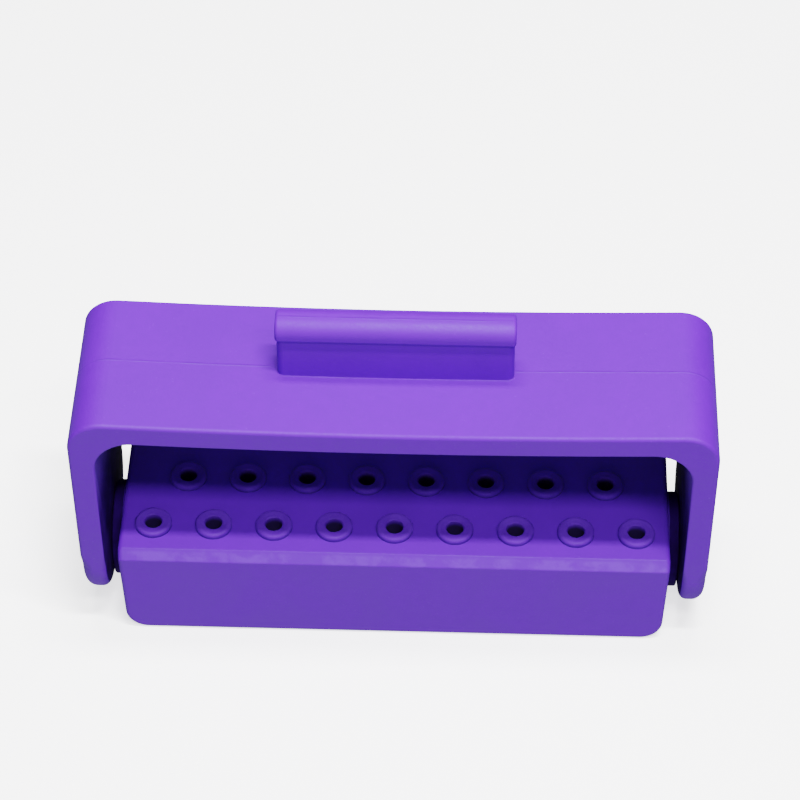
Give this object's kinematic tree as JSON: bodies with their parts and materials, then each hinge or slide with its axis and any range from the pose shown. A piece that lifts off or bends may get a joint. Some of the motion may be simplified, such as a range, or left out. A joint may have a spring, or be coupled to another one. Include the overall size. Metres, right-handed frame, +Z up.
{
  "type": "dental bur block",
  "caption": "Block with rows of gripping holes that hold dental burs upright, under a hinged U-shaped flip cover with a handle ridge.",
  "frame": {"origin": "on the bench, under the middle of the block", "axes": "+X along the rows of holes, -Y towards the front, where the row of nine is, +Z up"},
  "size_m": [0.0826, 0.023, 0.0485],
  "materials": {
    "block_plastic": "satin, fine moulded grain",
    "cover_plastic": "satin, fine moulded grain",
    "grommet_rubber": "soft satin",
    "pin_steel": "turned end"
  },
  "bodies": {
    "base": {"bur_block": "block_plastic", "grommet_front_1": "grommet_rubber", "grommet_front_2": "grommet_rubber", "grommet_front_3": "grommet_rubber", "grommet_front_4": "grommet_rubber", "grommet_front_5": "grommet_rubber", "grommet_front_6": "grommet_rubber", "grommet_front_7": "grommet_rubber", "grommet_front_8": "grommet_rubber", "grommet_front_9": "grommet_rubber", "grommet_back_1": "grommet_rubber", "grommet_back_2": "grommet_rubber", "grommet_back_3": "grommet_rubber", "grommet_back_4": "grommet_rubber", "grommet_back_5": "grommet_rubber", "grommet_back_6": "grommet_rubber", "grommet_back_7": "grommet_rubber", "grommet_back_8": "grommet_rubber"},
    "lid": {"cover": "cover_plastic", "pivot_pin_left": "pin_steel", "pivot_pin_right": "pin_steel"}
  },
  "joints": [
    {"name": "cover_hinge", "type": "hinge", "parent": "base", "child": "lid", "pos_m": [0, 0, 0.0076], "axis": [-1, 0, 0], "range_deg": [-44, 44]}
  ]
}
